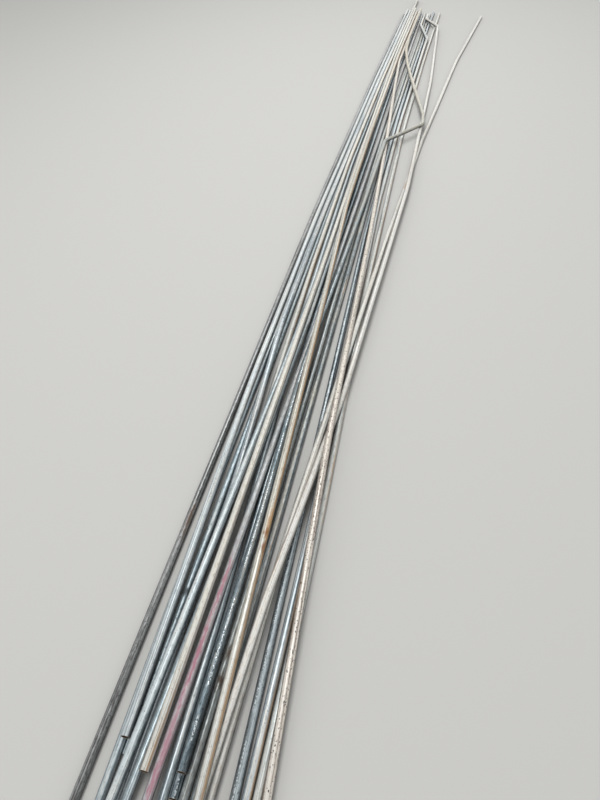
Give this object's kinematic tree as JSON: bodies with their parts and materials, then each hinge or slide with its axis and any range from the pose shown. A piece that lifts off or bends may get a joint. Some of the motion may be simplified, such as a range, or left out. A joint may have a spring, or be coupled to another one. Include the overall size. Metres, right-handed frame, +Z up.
{
  "type": "bundle of steel pipes",
  "caption": "Loose bundle of long thin-walled galvanised steel pipes lying across one another, some with hand-made offset bends.",
  "frame": {"origin": "on the ground below the middle of the bundle's bounding box", "axes": "+X along the pipes, away from the near ends; +Y across them; +Z up"},
  "size_m": [6.609, 0.7514, 0.0758],
  "materials": {
    "galvanised_steel": "weathered zinc coat with cement dust and rust streaks"
  },
  "bodies": {
    "root": {"pipe_01": "galvanised_steel", "pipe_02": "galvanised_steel", "pipe_03": "galvanised_steel", "pipe_04": "galvanised_steel", "pipe_05": "galvanised_steel", "pipe_06": "galvanised_steel", "pipe_07": "galvanised_steel", "pipe_08": "galvanised_steel", "pipe_09": "galvanised_steel", "pipe_10": "galvanised_steel", "pipe_11": "galvanised_steel", "pipe_12": "galvanised_steel", "pipe_13": "galvanised_steel", "pipe_14": "galvanised_steel", "pipe_15": "galvanised_steel", "pipe_16": "galvanised_steel", "pipe_17": "galvanised_steel", "pipe_18": "galvanised_steel", "pipe_19": "galvanised_steel", "pipe_20": "galvanised_steel", "pipe_21": "galvanised_steel", "pipe_22": "galvanised_steel"}
  },
  "joints": []
}
